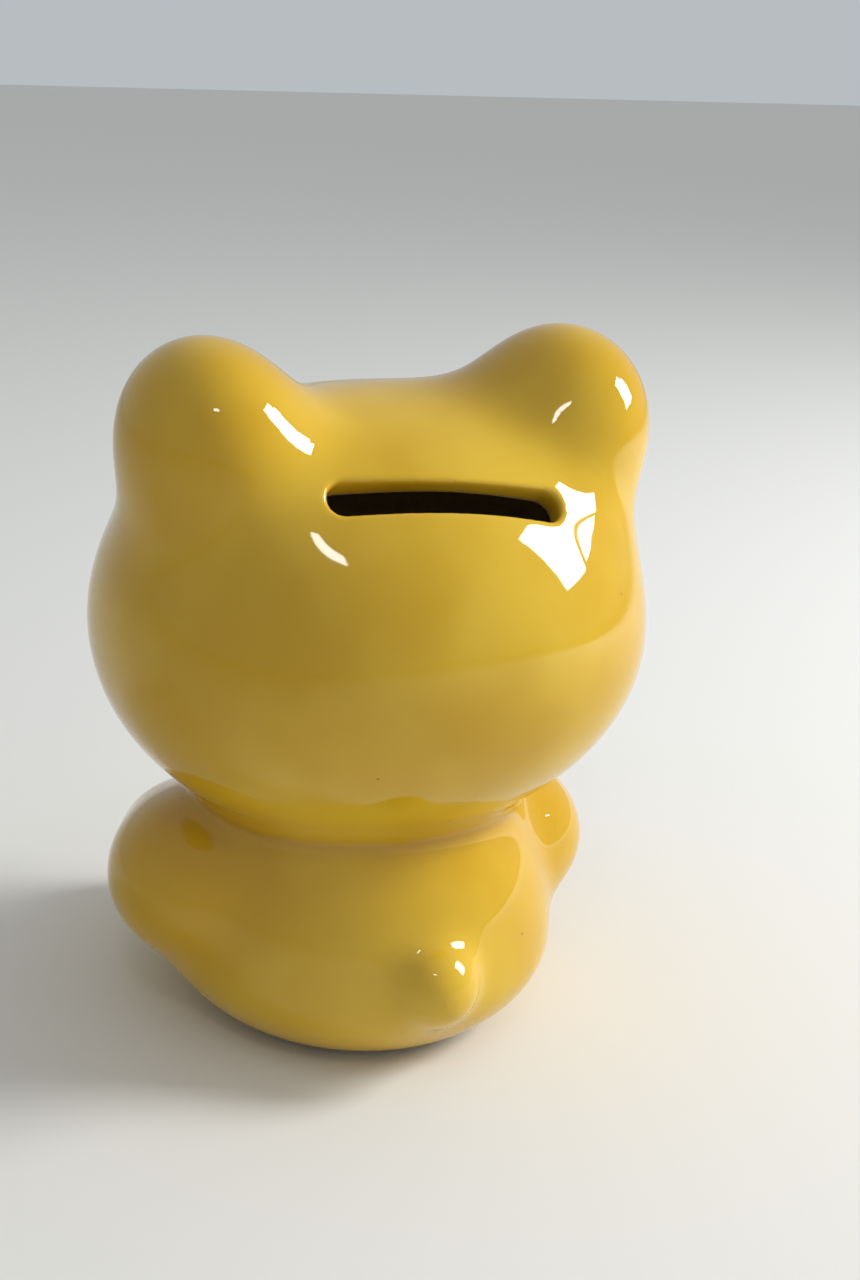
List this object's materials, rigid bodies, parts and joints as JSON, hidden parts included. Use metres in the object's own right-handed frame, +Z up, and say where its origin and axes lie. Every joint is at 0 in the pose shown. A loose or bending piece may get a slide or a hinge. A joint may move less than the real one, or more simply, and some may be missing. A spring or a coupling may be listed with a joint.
{
  "type": "figural coin bank",
  "caption": "Seated cub coin bank of glazed earthenware: hollow head with round ears and a coin slot, hollow body with arms and legs, and a soft plug in the base.",
  "frame": {"origin": "on the table, below the middle of the figure's bounding box", "axes": "+Z up, the cub faces -Y, and the coin slot is in the back of the head, towards +Y"},
  "size_m": [0.0972, 0.1012, 0.1244],
  "materials": {
    "honey_glaze": "gloss",
    "brown_glaze": "gloss",
    "soft_plug": "satin"
  },
  "bodies": {
    "bank": {"head_shell": "honey_glaze", "body_shell": "honey_glaze", "left_arm": "honey_glaze", "right_arm": "honey_glaze", "left_leg": "honey_glaze", "right_leg": "honey_glaze", "tail": "honey_glaze", "muzzle": "honey_glaze", "nose": "brown_glaze", "left_eye": "brown_glaze", "right_eye": "brown_glaze"},
    "stopper": {"base_stopper": "soft_plug"}
  },
  "joints": [
    {"name": "stopper_pull", "type": "slide", "parent": "bank", "child": "stopper", "axis": [0, 0, -1], "range_m": [0, 0.03]}
  ]
}
